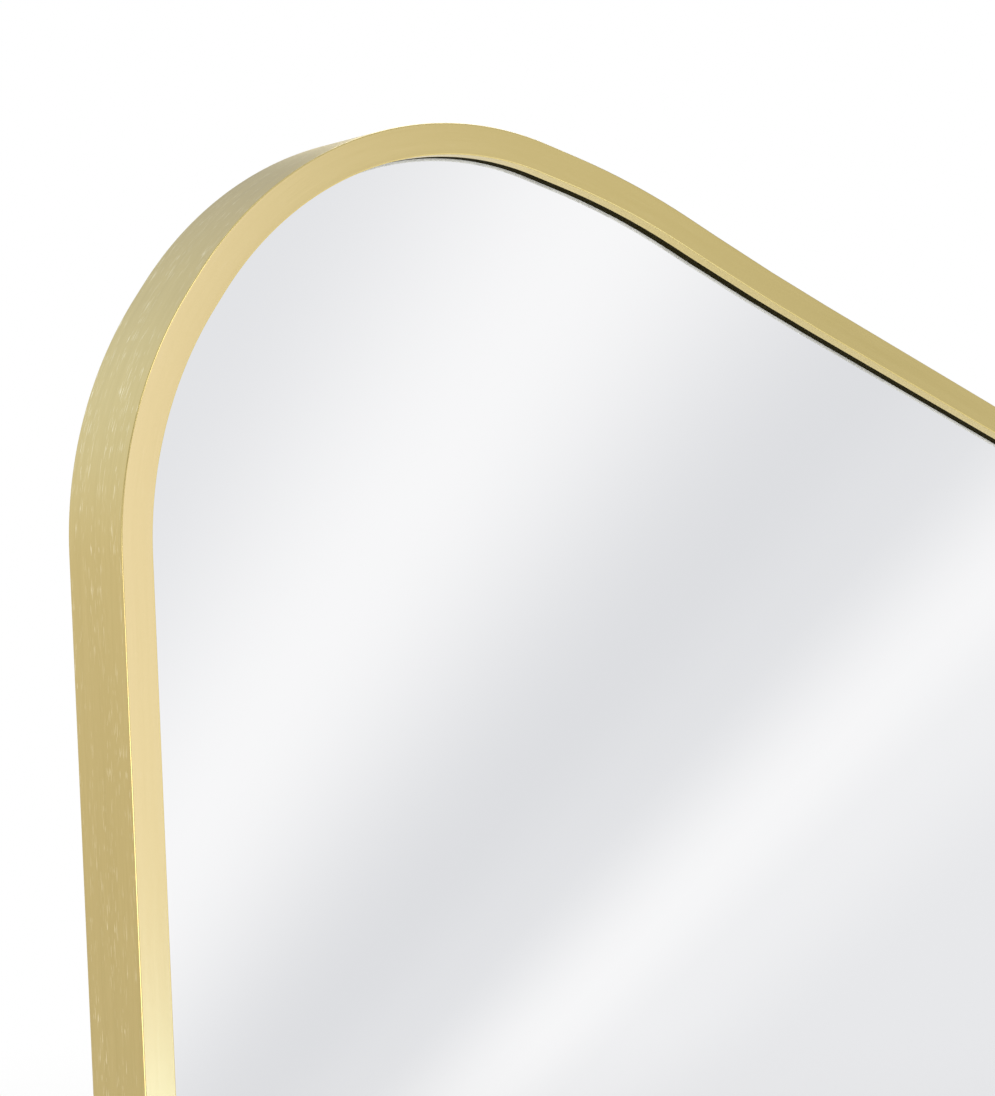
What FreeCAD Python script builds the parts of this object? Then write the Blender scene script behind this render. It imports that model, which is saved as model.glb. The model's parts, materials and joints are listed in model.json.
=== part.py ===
# Wall mirror of irregular outline in a deep, bent aluminium frame.
# Millimetres. X runs to the right as seen from the front, Z runs up, the front faces -Y.
# The origin lies on the wall plane (Y = 0), midway across and up the outline's box.
import FreeCAD, Part
import math
import os

from FreeCAD import Rotation, Vector

# ---- overall size
MIRROR_WIDTH = 610.0
MIRROR_HEIGHT = 913.0

# ---- outline: corners of a polygon, in order up the left side and then clockwise, each with
# ---- the radius of its bend: x and the radius as shares of the width, z as a share of the height.
OUTLINE = [
    # x, z, bend radius
    (-0.5027, 0.3978, 0.213),       # where the left side leaves the straight
    (-0.3814, 0.5179, 0.200),       # high lobe
    (-0.1845, 0.4874, 0.538),       # long shoulder of the lobe
    (-0.0779, 0.4582, 2.328),       # faint hollow in the falling top edge
    (0.5148, 0.3149, 0.246),        # right shoulder
    (0.4165, -0.4853, 0.270),       # lower right corner
    (-0.4458, -0.5050, 0.246),      # lower left corner
]
RIGHT_SIDE, BOTTOM, LEFT_SIDE = 4, 5, 6     # the edges that follow these corners
EDGE_LEFT_STRAIGHT = 0.02       # share of an edge that its two bends leave straight at the least

# ---- frame profile, as a section: across is measured inwards from the outline
FACE_WIDTH = 10.0
FRAME_DEPTH = 35.0
WALL = 1.5
LIP_DEPTH = 5.5
LIP_THICKNESS = 1.2
RIB_REACH = 3.3
RIB_THICKNESS = 1.5
SLOT_LIP = 0.8
EDGE_CHAMFER = 0.5
SEAM_GAP = 0.12

# ---- glazing
GASKET_HEIGHT = 4.5
GASKET_HOOK = 1.8
GASKET_CLEARANCE = 0.3
GLASS_BITE = 1.2                # the pane reaches this far outside the gasket
SEAL_LIP_WIDTH = 0.8
SEAL_LIP_HEIGHT = 0.6
GLASS_THICKNESS = 4.0
ARRIS = 0.4
SILVER_THICKNESS = 0.1
FILM_THICKNESS = 0.2
FOAM_THICKNESS = 2.0
FOAM_WIDTH = 20.0
FOAM_COUNT = 5
FOAM_EDGE_INSET = 25.0
BOARD_THICKNESS = 5.0
PANE_CLEARANCE = 0.5
BLOCK_LENGTH = 30.0
BLOCK_SHARE = 0.1               # place of the lower blocks along the bottom edge's straight

# ---- splice of the bent profile
KEY_LENGTH = 72.0
KEY_CLEARANCE = 0.15
KEY_PLAY = 0.3                  # between the key and the profile's wall
KEY_SCREW_RADIUS = 2.0
KEY_SCREW_INSET = 10.0
KEY_SCREW_PITCH = 14.0
KEY_HEX_RADIUS = 1.1
KEY_HEX_DEPTH = 1.2

# ---- retaining clips
CLIP_COUNT = 10
CLIP_WIDTH = 16.0
CLIP_THICKNESS = 1.0
CLIP_LENGTH = 22.0
CLIP_END_CLEARANCE = 0.5
CLIP_GROOVE_CLEARANCE = 0.2
CLIP_HOLE_FROM_END = 7.5
CLIP_CORNER = 5.0

# ---- screws
SCREW_SHANK_RADIUS = 1.6
SCREW_HEAD_RADIUS = 3.3
SCREW_HEAD_HEIGHT = 2.2
SCREW_POINT_COVER = 1.2
HEAD_SIDES = 10                 # small round forms that repeat are drawn with few sides
SMALL_SIDES = 8
SCREW_CLEARANCE = 0.1
PILOT_CLEARANCE = 0.05

# ---- hangers: strap plate with a rolled knuckle, and a D-ring through it
RING_WIRE_RADIUS = 1.3
RING_INNER_WIDTH = 16.0
RING_CORNER = 3.2
RING_LEG = 2.5
RING_CORNER_STEPS = 2
RING_BOW_STEPS = 6
RING_REST_TILT = 1.5
KNUCKLE_WALL = 1.2
KNUCKLE_RUNNING_FIT = 0.05
KNUCKLE_END_CLEARANCE = 0.3
PLATE_WIDTH = 14.0
PLATE_BEYOND_BOW = 24.0
PLATE_CORNER = 4.0
PLATE_HOLE_PITCH = 11.0
PLATE_HOLE_FROM_END = 6.0
HANGER_EDGE_INSET = 62.0
UPRIGHT_HANGER_HEIGHT = 180.0
SIDEWAYS_HANGER_RISE = 75.0
SIDEWAYS_HANGER_SPACING = 470.0

# ---- bumper pads on the frame's back edge
PAD_THICKNESS = 1.5
PAD_LENGTH = 34.0
PAD_EDGE = 1.0                  # keeps the pads out of sight behind the profile
PAD_SHARE = 0.07                # place of the pads along the straight of each long side

CUT_BEYOND = 1.0                # how far a cutting shape reaches past what it cuts

# ---- levels along Y, from the face to the wall
FRONT = -(FRAME_DEPTH + PAD_THICKNESS)
BACK_EDGE = FRONT + FRAME_DEPTH
FACE_BACK = FRONT + WALL
LIP_END = FRONT + LIP_DEPTH
GLASS_FRONT = LIP_END + GASKET_HEIGHT
GLASS_BACK = GLASS_FRONT + GLASS_THICKNESS
SILVER_BACK = GLASS_BACK + SILVER_THICKNESS
FILM_BACK = SILVER_BACK + FILM_THICKNESS
BOARD_FRONT = FILM_BACK + FOAM_THICKNESS
BOARD_BACK = BOARD_FRONT + BOARD_THICKNESS
SCREW_POINT = BOARD_FRONT + SCREW_POINT_COVER
CLIP_BACK = BOARD_BACK + CLIP_THICKNESS
SLOT_RIB_FRONT = CLIP_BACK + CLIP_GROOVE_CLEARANCE
SLOT_FRONT = SLOT_RIB_FRONT + RIB_THICKNESS
SLOT_BACK = BACK_EDGE - RIB_THICKNESS

# ---- distances inwards from the outline
RIB_TIP = WALL + RIB_REACH
PANE_EDGE = RIB_TIP + PANE_CLEARANCE
GASKET_OUTSIDE = PANE_EDGE + GLASS_BITE
LIP_OUTSIDE = FACE_WIDTH - LIP_THICKNESS
SLOT_LIP_OUTSIDE = RIB_TIP - SLOT_LIP

UP_Y = Vector(0, 1, 0)
parts = {}


# ---- outline geometry ----------------------------------------------------------------------

class Bend:
    """One rounded corner: its two tangent points, arc centre and radius."""

    def __init__(self, before, corner, after, radius):
        self.corner = corner
        self.inwards = (corner - before).normalize()
        self.onwards = (after - corner).normalize()
        self.turn = self.inwards.getAngle(self.onwards)
        self.side = 1 if inward_normal(self.inwards).dot(self.onwards) > 0 else -1     # -1 in a hollow
        self.radius = radius

    def tangent_length(self):
        return self.radius * math.tan(self.turn / 2)

    def settle(self):
        self.start = self.corner - self.inwards * self.tangent_length()
        self.end = self.corner + self.onwards * self.tangent_length()
        self.centre = self.start + inward_normal(self.inwards) * (self.radius * self.side)


def inward_normal(direction):
    return Vector(direction.z, 0, -direction.x)


def build_bends():
    corners = [Vector(x * MIRROR_WIDTH, 0, z * MIRROR_HEIGHT) for x, z, _ in OUTLINE]
    count = len(corners)
    bends = [Bend(corners[i - 1], corners[i], corners[(i + 1) % count], OUTLINE[i][2] * MIRROR_WIDTH)
             for i in range(count)]
    # a bend is limited by the room that it shares with its neighbours
    room = []
    for i in range(count):
        edge = (corners[(i + 1) % count] - corners[i]).Length * (1 - EDGE_LEFT_STRAIGHT)
        room.append(edge / (bends[i].tangent_length() + bends[(i + 1) % count].tangent_length()))
    for i, bend in enumerate(bends):
        bend.radius *= min(1.0, room[i - 1], room[i])
    for bend in bends:
        bend.settle()
    return bends


BENDS = build_bends()


def outline_wire(inset, level):
    """The outline moved inwards by inset, at Y = level."""
    lift = Vector(0, level, 0)
    edges = []
    for i, bend in enumerate(BENDS):
        following = BENDS[(i + 1) % len(BENDS)]
        start = bend.start + inward_normal(bend.inwards) * inset + lift
        end = bend.end + inward_normal(bend.onwards) * inset + lift
        reach = bend.radius - inset * bend.side
        towards = (bend.corner - bend.centre).normalize()
        middle = bend.centre + towards * reach + lift
        edges.append(Part.Arc(start, middle, end).toShape())
        onward = following.start + inward_normal(following.inwards) * inset + lift
        edges.append(Part.LineSegment(end, onward).toShape())
    return Part.Wire(edges)


def slab(inset, level, far_level):
    """The whole area inside the inset outline, from one level to another."""
    return Part.Face(outline_wire(inset, level)).extrude(UP_Y * (far_level - level))


def band(outer_inset, inner_inset, level, far_level):
    """A ring between two insets of the outline, from one level to another."""
    wires = [outline_wire(outer_inset, level), outline_wire(inner_inset, level)]
    return Part.makeFace(wires, "Part::FaceMakerBullseye").extrude(UP_Y * (far_level - level))


def stations():
    """The outline as a list of stretches: length, and a function from distance to point and normal."""
    found = []
    for i, bend in enumerate(BENDS):
        following = BENDS[(i + 1) % len(BENDS)]

        def on_arc(distance, bend=bend):
            spin = Rotation(UP_Y, math.degrees(distance / bend.radius * bend.side))
            normal = spin.multVec(inward_normal(bend.inwards))
            return bend.centre - normal * (bend.radius * bend.side), normal

        def on_line(distance, bend=bend):
            return bend.end + bend.onwards * distance, inward_normal(bend.onwards)

        found.append((bend.radius * bend.turn, on_arc))
        found.append(((following.start - bend.end).Length, on_line))
    return found


STATIONS = stations()
PERIMETER = sum(length for length, _ in STATIONS)


def along(distance):
    """Point on the outline and inward normal at a distance round it."""
    distance %= PERIMETER
    for length, where in STATIONS:
        if distance <= length:
            return where(distance)
        distance -= length
    return STATIONS[-1][1](STATIONS[-1][0])


def middle_of_edge(index, share=0.5):
    """Point and inward normal on the straight stretch that follows bend number index."""
    length, where = STATIONS[2 * index + 1]
    return where(length * share)


def turned(normal):
    """Rotation about Y that takes +Z to the given direction."""
    return Rotation(UP_Y, math.degrees(math.atan2(normal.x, normal.z)))


def placed(shape, point, direction):
    copy = shape.copy()
    copy.Placement = FreeCAD.Placement(point, turned(direction)).multiply(copy.Placement)
    return copy


def side_of_outline(height, sign, inset):
    """X of the inset outline at a height, on the right (sign 1) or the left (sign -1)."""
    ray = Part.LineSegment(Vector(0, 0, height), Vector(sign * MIRROR_WIDTH, 0, height)).toShape()
    inside = Part.Face(outline_wire(inset, 0)).common(ray)
    ends = [vertex.X * sign for vertex in inside.Vertexes]
    return sign * max(ends)


def box(x0, x1, y0, y1, z0, z1):
    return Part.makeBox(x1 - x0, y1 - y0, z1 - z0, Vector(x0, y0, z0))


def regular_corners(sides, radius):
    """Corners of a regular polygon round a circle, closed."""
    reach = radius / math.cos(math.pi / sides)
    angles = [2 * math.pi * (k + 0.5) / sides for k in range(sides + 1)]
    return [(reach * math.cos(angle), reach * math.sin(angle)) for angle in angles]


def prism(sides, radius, level, far_level, z):
    """A bar along Y at X = 0, with flat sides that touch a circle of the radius."""
    points = [Vector(across, level, z + up) for across, up in regular_corners(sides, radius)]
    return Part.Face(Part.makePolygon(points)).extrude(UP_Y * (far_level - level))


def upright_prism(sides, radius, x, y, bottom, top):
    """The same, along Z."""
    points = [Vector(x + across, y + up, bottom) for across, up in regular_corners(sides, radius)]
    return Part.Face(Part.makePolygon(points)).extrude(Vector(0, 0, top - bottom))


def fused(shapes):
    return shapes[0].fuse(shapes[1:]).removeSplitter()


def solid_of(shape):
    return shape.Solids[0] if len(shape.Solids) == 1 else shape


# ---- the bent profile ----------------------------------------------------------------------

def break_front_edges(shape):
    edges = []
    for edge in shape.Edges:
        bounds = edge.BoundBox
        on_front = abs(bounds.YMin - FRONT) < 1e-4 and abs(bounds.YMax - FRONT) < 1e-4
        if on_front:
            edges.append(edge)
    return shape.makeChamfer(min(EDGE_CHAMFER, WALL / 2), edges)


def frame_profile():
    wall = band(0, WALL, FRONT, BACK_EDGE)
    face = band(0, FACE_WIDTH, FRONT, FACE_BACK)
    lip = band(LIP_OUTSIDE, FACE_WIDTH, FRONT, LIP_END)
    groove_rib = band(0, RIB_TIP, BOARD_BACK - RIB_THICKNESS, BOARD_BACK)
    slot_rib = band(0, RIB_TIP, SLOT_RIB_FRONT, SLOT_FRONT)
    slot_rib_lip = band(SLOT_LIP_OUTSIDE, RIB_TIP, SLOT_RIB_FRONT, SLOT_FRONT + SLOT_LIP)
    back_rib = band(0, RIB_TIP, SLOT_BACK, BACK_EDGE)
    back_rib_lip = band(SLOT_LIP_OUTSIDE, RIB_TIP, SLOT_BACK - SLOT_LIP, BACK_EDGE)
    profile = fused([wall, face, lip, groove_rib, slot_rib, slot_rib_lip, back_rib, back_rib_lip])
    profile = break_front_edges(profile)
    # the two ends of the bent profile meet at a hairline seam in the bottom edge
    point, normal = middle_of_edge(BOTTOM)
    seam = box(-SEAM_GAP / 2, SEAM_GAP / 2, FRONT - CUT_BEYOND, BACK_EDGE + CUT_BEYOND,
               -CUT_BEYOND, FACE_WIDTH + CUT_BEYOND)
    return profile.cut(placed(seam, point, normal))


def key_screw_places():
    half = KEY_LENGTH / 2 - KEY_SCREW_INSET
    return [-half, -half + KEY_SCREW_PITCH, half - KEY_SCREW_PITCH, half]


def splice():
    """The key in the slot across the seam, and its set screws."""
    point, normal = middle_of_edge(BOTTOM)
    bottom, top = WALL + KEY_PLAY, SLOT_LIP_OUTSIDE
    screw_top = top + SLOT_LIP / 2
    half = KEY_LENGTH / 2
    bar = box(-half, half, SLOT_FRONT + KEY_CLEARANCE, SLOT_BACK - KEY_CLEARANCE, bottom, top)
    middle = (SLOT_FRONT + SLOT_BACK) / 2
    screws = []
    for x in key_screw_places():
        hole = upright_prism(SMALL_SIDES, KEY_SCREW_RADIUS + PILOT_CLEARANCE, x, middle, bottom, top)
        bar = bar.cut(hole)
        screw = upright_prism(SMALL_SIDES, KEY_SCREW_RADIUS, x, middle, WALL, screw_top)
        socket = upright_prism(6, KEY_HEX_RADIUS, x, middle, screw_top - KEY_HEX_DEPTH, screw_top)
        screws.append(placed(screw.cut(socket), point, normal))
    parts["splice_key"] = placed(bar, point, normal)
    parts["splice_screws"] = Part.makeCompound(screws)


# ---- glazing -------------------------------------------------------------------------------

def glazing():
    foot = band(GASKET_OUTSIDE, FACE_WIDTH, LIP_END, GLASS_FRONT)
    hook = band(LIP_OUTSIDE - GASKET_HOOK, LIP_OUTSIDE, FACE_BACK + GASKET_CLEARANCE, GLASS_FRONT)
    parts["glazing_gasket"] = fused([foot, hook])
    seal_edge = FACE_WIDTH + SEAL_LIP_WIDTH
    parts["seal_lip"] = band(FACE_WIDTH, seal_edge, GLASS_FRONT - SEAL_LIP_HEIGHT, GLASS_FRONT)

    pane = slab(PANE_EDGE, GLASS_FRONT, GLASS_BACK)
    rim = [edge for edge in pane.Edges if edge.BoundBox.YLength < 1e-4]
    parts["mirror_glass"] = pane.makeChamfer(ARRIS, rim)
    coated = PANE_EDGE + ARRIS
    parts["silver_backing"] = slab(coated, GLASS_BACK, SILVER_BACK)
    parts["safety_film"] = slab(coated, SILVER_BACK, FILM_BACK)
    foam()
    setting_blocks()


def foam():
    """Upright strips of adhesive foam, spread evenly across the pane."""
    bed = slab(FOAM_EDGE_INSET, FILM_BACK, BOARD_FRONT)
    bounds = bed.BoundBox
    pitch = (bounds.XLength - FOAM_WIDTH) / FOAM_COUNT
    for k in range(FOAM_COUNT):
        left = bounds.XMin + (k + 0.5) * pitch
        stripe = box(left, left + FOAM_WIDTH, FILM_BACK, BOARD_FRONT,
                     bounds.ZMin - CUT_BEYOND, bounds.ZMax + CUT_BEYOND)
        parts["foam_strip_%d" % (k + 1)] = solid_of(bed.common(stripe))


def clipped_band(outer_inset, inner_inset, level, far_level, length, point, normal):
    """A short length of a ring, centred on a point of the outline."""
    ring = band(outer_inset, inner_inset, level, far_level)
    window = box(-length / 2, length / 2, level - CUT_BEYOND, far_level + CUT_BEYOND,
                 -inner_inset, 2 * inner_inset)
    return solid_of(ring.common(placed(window, point, normal)))


def setting_blocks():
    """Blocks that carry the pane's edge on the frame: two below, one at each side."""
    places = [middle_of_edge(BOTTOM, BLOCK_SHARE), middle_of_edge(BOTTOM, 1 - BLOCK_SHARE),
              middle_of_edge(LEFT_SIDE), middle_of_edge(RIGHT_SIDE)]
    for k, (point, normal) in enumerate(places):
        parts["setting_block_%d" % (k + 1)] = clipped_band(
            WALL, PANE_EDGE, GLASS_FRONT + ARRIS, GLASS_BACK - ARRIS, BLOCK_LENGTH, point, normal)


# ---- screws --------------------------------------------------------------------------------

def screw(seat_level, z):
    """A screw whose head sits on seat_level and whose shank bites the backboard."""
    head = prism(HEAD_SIDES, SCREW_HEAD_RADIUS, seat_level, seat_level + SCREW_HEAD_HEIGHT, z)
    shank = prism(SMALL_SIDES, SCREW_SHANK_RADIUS, SCREW_POINT, seat_level, z)
    return head.fuse(shank)


def pilot_hole(z):
    return prism(SMALL_SIDES, SCREW_SHANK_RADIUS + PILOT_CLEARANCE, SCREW_POINT, BOARD_BACK, z)


def through_hole(thickness, z):
    """Screw hole through a plate that lies on the backboard."""
    return prism(SMALL_SIDES, SCREW_SHANK_RADIUS + SCREW_CLEARANCE, BOARD_BACK, BOARD_BACK + thickness, z)


# ---- retaining clips -----------------------------------------------------------------------

def cut_cornered_plate(width, z_square, z_cut, level, far_level, corner):
    """A flat plate with its two corners cut off at the z_cut end."""
    corner = math.copysign(min(corner, 0.45 * width), z_cut - z_square)
    half = width / 2
    shoulder = half - abs(corner)
    corners = [(-half, z_square), (half, z_square), (half, z_cut - corner), (shoulder, z_cut),
               (-shoulder, z_cut), (-half, z_cut - corner), (-half, z_square)]
    points = [Vector(x, level, z) for x, z in corners]
    return Part.Face(Part.makePolygon(points)).extrude(UP_Y * (far_level - level))


def clips(pilot_holes):
    start = WALL + CLIP_END_CLEARANCE
    end = start + CLIP_LENGTH
    hole_at = end - CLIP_HOLE_FROM_END
    plate = cut_cornered_plate(CLIP_WIDTH, start, end, BOARD_BACK, CLIP_BACK, CLIP_CORNER)
    plate = plate.cut(through_hole(CLIP_THICKNESS, hole_at))
    fastener = screw(CLIP_BACK, hole_at)
    pilot = pilot_hole(hole_at)
    screws = []
    # the first clip stands clear of the seam, half a pitch to one side
    before_seam = STATIONS[:2 * BOTTOM + 1]
    seam_distance = sum(length for length, _ in before_seam) + STATIONS[2 * BOTTOM + 1][0] / 2
    pitch = PERIMETER / CLIP_COUNT
    for k in range(CLIP_COUNT):
        point, normal = along(seam_distance + (k + 0.5) * pitch)
        parts["retaining_clip_%d" % (k + 1)] = placed(plate, point, normal)
        screws.append(placed(fastener, point, normal))
        pilot_holes.append(placed(pilot, point, normal))
    parts["clip_screws"] = Part.makeCompound(screws)


# ---- hangers -------------------------------------------------------------------------------

HINGE_HEIGHT = RING_WIRE_RADIUS + KNUCKLE_RUNNING_FIT + KNUCKLE_WALL
HINGE_LEVEL = BOARD_BACK + HINGE_HEIGHT
RING_HALF_WIDTH = RING_INNER_WIDTH / 2 + RING_WIRE_RADIUS
RING_REACH = RING_CORNER + RING_LEG + RING_HALF_WIDTH
KNUCKLE_LENGTH = 2 * (RING_HALF_WIDTH - RING_CORNER) - 2 * KNUCKLE_END_CLEARANCE
PLATE_END = -(RING_REACH + PLATE_BEYOND_BOW)


def bar_along_x(radius, x0, x1):
    return Part.makeCylinder(radius, x1 - x0, Vector(x0, HINGE_LEVEL, 0), Vector(1, 0, 0))


def hanger_plate():
    """Strap plate with its knuckle on the hinge axis. The pull is towards +Z, the plate lies towards -Z."""
    plate = cut_cornered_plate(PLATE_WIDTH, -HINGE_HEIGHT, PLATE_END, BOARD_BACK, BOARD_BACK + KNUCKLE_WALL,
                               PLATE_CORNER)
    half = KNUCKLE_LENGTH / 2
    neck = box(-half, half, BOARD_BACK, BOARD_BACK + KNUCKLE_WALL, -HINGE_HEIGHT - CUT_BEYOND, 0)
    knuckle = bar_along_x(HINGE_HEIGHT, -half, half)
    bore = bar_along_x(RING_WIRE_RADIUS + KNUCKLE_RUNNING_FIT, -half - CUT_BEYOND, half + CUT_BEYOND)
    strap = fused([plate, neck, knuckle]).cut(bore)
    for z in plate_holes():
        strap = strap.cut(through_hole(KNUCKLE_WALL, z))
    return strap


def plate_holes():
    last = PLATE_END + PLATE_HOLE_FROM_END
    return [last, last + PLATE_HOLE_PITCH]


def arc_points(x, z, radius, start, end, steps):
    """Points on an arc in the XZ plane, half a step in from each of its ends, angles in degrees."""
    angles = [math.radians(start + (end - start) * (k + 0.5) / steps) for k in range(steps)]
    reach = radius / math.cos(math.radians((end - start) / steps / 2))
    return [(x + reach * math.cos(angle), z + reach * math.sin(angle)) for angle in angles]


def hanger_ring():
    """D-ring of round wire, folded down over the plate, a little clear of it."""
    bar_end = RING_HALF_WIDTH - RING_CORNER
    leg_end = -(RING_CORNER + RING_LEG)
    # the bow and the corners are wire bent in even steps, from one end of the bar to the other
    path = [(bar_end, 0)]
    path += arc_points(bar_end, -RING_CORNER, RING_CORNER, 90, 0, RING_CORNER_STEPS)
    path += arc_points(0, leg_end, RING_HALF_WIDTH, 0, -180, RING_BOW_STEPS)
    path += arc_points(-bar_end, -RING_CORNER, RING_CORNER, 180, 90, RING_CORNER_STEPS)
    path.append((-bar_end, 0))
    spine = Part.makePolygon([Vector(x, HINGE_LEVEL, z) for x, z in path])
    around = [Vector(path[0][0], HINGE_LEVEL + across, up)
              for across, up in regular_corners(SMALL_SIDES, RING_WIRE_RADIUS)]
    bow = spine.makePipeShell([Part.makePolygon(around)], True, False, 1)
    ring = bow.fuse(bar_along_x(RING_WIRE_RADIUS, -bar_end, bar_end))
    # tilt away from the plate about the bar
    ring.rotate(Vector(0, HINGE_LEVEL, 0), Vector(1, 0, 0), RING_REST_TILT)
    return solid_of(ring)


def hangers(pilot_holes):
    inset = PANE_EDGE + HANGER_EDGE_INSET
    left = Vector(-1, 0, 0)
    up = Vector(0, 0, 1)
    upper = UPRIGHT_HANGER_HEIGHT
    side_top = upper + SIDEWAYS_HANGER_RISE
    side_low = side_top - SIDEWAYS_HANGER_SPACING
    side_x = max(side_of_outline(side_top, -1, inset), side_of_outline(side_low, -1, inset))
    places = {
        "upper_left": (Vector(side_of_outline(upper, -1, inset), 0, upper), up),
        "upper_right": (Vector(side_of_outline(upper, 1, inset), 0, upper), up),
        "side_top": (Vector(side_x, 0, side_top), left),
        "side_bottom": (Vector(side_x, 0, side_low), left),
    }
    plate = hanger_plate()
    ring = hanger_ring()
    screws = []
    for name, (point, pull) in places.items():
        parts["hanger_plate_" + name] = placed(plate, point, pull)
        parts["hanger_ring_" + name] = placed(ring, point, pull)
        print("hinge of hanger_ring_%s: %.3f %.3f %.3f" % (name, point.x, HINGE_LEVEL, point.z))
        for z in plate_holes():
            screws.append(placed(screw(BOARD_BACK + KNUCKLE_WALL, z), point, pull))
            pilot_holes.append(placed(pilot_hole(z), point, pull))
    parts["hanger_screws"] = Part.makeCompound(screws)


# ---- backboard and bumper pads -------------------------------------------------------------

def backboard(pilot_holes):
    board = slab(PANE_EDGE, BOARD_FRONT, BOARD_BACK)
    parts["backboard"] = solid_of(board.cut(pilot_holes))


def bumper_pads():
    """Pads near the upper and lower ends of the two long sides."""
    places = [middle_of_edge(LEFT_SIDE, 1 - PAD_SHARE), middle_of_edge(RIGHT_SIDE, PAD_SHARE),
              middle_of_edge(RIGHT_SIDE, 1 - PAD_SHARE), middle_of_edge(LEFT_SIDE, PAD_SHARE)]
    for k, (point, normal) in enumerate(places):
        pad = clipped_band(PAD_EDGE, RIB_TIP - PAD_EDGE, BACK_EDGE, 0.0, PAD_LENGTH, point, normal)
        parts["bumper_pad_%d" % (k + 1)] = pad
        centre = pad.CenterOfMass
        print("bumper_pad_%d face: %.3f 0.000 %.3f" % (k + 1, centre.x, centre.z))


# ---- build ---------------------------------------------------------------------------------

def build():
    parts["frame_profile"] = solid_of(frame_profile())
    splice()
    glazing()
    pilot_holes = []
    clips(pilot_holes)
    hangers(pilot_holes)
    backboard(pilot_holes)
    bumper_pads()
    os.makedirs("parts", exist_ok=True)
    for name, shape in parts.items():
        shape.exportStep(os.path.join("parts", name + ".step"))
    print("%d nodes" % len(parts))


build()
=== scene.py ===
"""Looks of the irregular wall mirror: brushed gold profile, glazing, fibreboard back and hangers."""

import json
import math

import bmesh
import bpy
from mathutils import Matrix, Vector


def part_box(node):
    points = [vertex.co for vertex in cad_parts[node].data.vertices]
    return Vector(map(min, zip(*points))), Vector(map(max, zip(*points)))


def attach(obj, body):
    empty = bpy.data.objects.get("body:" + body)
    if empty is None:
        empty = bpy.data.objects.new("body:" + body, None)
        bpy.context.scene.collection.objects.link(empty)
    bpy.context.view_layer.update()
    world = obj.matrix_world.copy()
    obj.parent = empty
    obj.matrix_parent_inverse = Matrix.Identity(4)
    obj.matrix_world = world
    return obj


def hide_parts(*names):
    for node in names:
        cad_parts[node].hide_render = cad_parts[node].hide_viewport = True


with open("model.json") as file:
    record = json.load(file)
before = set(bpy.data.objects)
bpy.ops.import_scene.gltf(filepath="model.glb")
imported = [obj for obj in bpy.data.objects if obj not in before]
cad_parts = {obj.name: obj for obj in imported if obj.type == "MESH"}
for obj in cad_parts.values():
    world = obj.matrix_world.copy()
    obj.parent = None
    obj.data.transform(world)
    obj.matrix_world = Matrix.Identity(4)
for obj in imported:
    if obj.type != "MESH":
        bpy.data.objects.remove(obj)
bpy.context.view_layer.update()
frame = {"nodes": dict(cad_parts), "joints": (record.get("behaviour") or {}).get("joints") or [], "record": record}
nodes = frame["nodes"]
MM = 0.001
ROOT = "mirror"

# ---- levels along Y and places, read from the frame ----------------------------------------
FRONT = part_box("frame_profile")[0].y
BACK_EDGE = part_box("frame_profile")[1].y
GLASS_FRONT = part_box("mirror_glass")[0].y
GLASS_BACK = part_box("mirror_glass")[1].y
BOARD_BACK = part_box("backboard")[1].y
CLIP_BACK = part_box("retaining_clip_1")[1].y
KEY_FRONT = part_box("splice_key")[0].y
KEY_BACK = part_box("splice_key")[1].y
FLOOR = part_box("frame_profile")[0].z

# ---- outline of the object: x, z and bend radius of its corners, clockwise from the left ------
# x and the radius are shares of the width, z is a share of the height
MIRROR_WIDTH = 610.0 * MM
MIRROR_HEIGHT = 913.0 * MM
OUTLINE = [
    (-0.5027, 0.3978, 0.213),
    (-0.3814, 0.5179, 0.200),
    (-0.1845, 0.4874, 0.538),
    (-0.0779, 0.4582, 2.328),
    (0.5148, 0.3149, 0.246),
    (0.4165, -0.4853, 0.270),
    (-0.4458, -0.5050, 0.246),
]
SEAM_EDGE = 5                 # the bottom edge, which follows this corner
EDGE_LEFT_STRAIGHT = 0.02     # share of an edge that two bends leave straight between them
ARC_STEP = math.radians(1.2)
LINE_STEP = 12.0 * MM

# ---- section of the profile -----------------------------------------------------------------
FACE_WIDTH = 10.0 * MM
WALL = 1.5 * MM
LIP_DEPTH = 5.5 * MM
LIP_THICKNESS = 1.2 * MM
RIB_REACH = 3.3 * MM
RIB_THICKNESS = 1.5 * MM
SLOT_LIP = 0.8 * MM
KEY_CLEARANCE = 0.15 * MM
CLIP_GROOVE_CLEARANCE = 0.2 * MM
SEAM_GAP = 0.12 * MM
FACE_ROUNDING = 0.65 * MM
SECTION_ROUNDING = 0.15 * MM
OUTER_SIDE_REACH = 0.2 * MM   # how far from the outer side and the lip their own gold reaches
# the inner lip's own gold is the frame gold painted lighter: painted light on the lip
INNER_LIP_REACH = 0.5 * MM
RIB_TIP = WALL + RIB_REACH
LIP_END = FRONT + LIP_DEPTH
LIP_OUTSIDE = FACE_WIDTH - LIP_THICKNESS
SLOT_LIP_OUTSIDE = RIB_TIP - SLOT_LIP

# ---- glazing ----------------------------------------------------------------------------------
PANE_CLEARANCE = 0.5 * MM
PANE_EDGE = RIB_TIP + PANE_CLEARANCE
GASKET_INSET = 1.2 * MM
GASKET_OUTSIDE = PANE_EDGE + GASKET_INSET
GASKET_HOOK = 1.8 * MM
GASKET_CLEARANCE = 0.3 * MM
GASKET_ROUNDING = 0.2 * MM
SEAL_LIP_WIDTH = 0.8 * MM
SEAL_ROUNDING = 0.6 * SEAL_LIP_WIDTH
ARRIS = 0.4 * MM
FOAM_STRIPS = 5
FOAM_BULGE = 0.25 * MM
FOAM_CUTS = (0.25, 0.5, 0.75)
FOAM_FLAT = 0.1               # share of the thickness, at front and back, that stays flat

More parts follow.
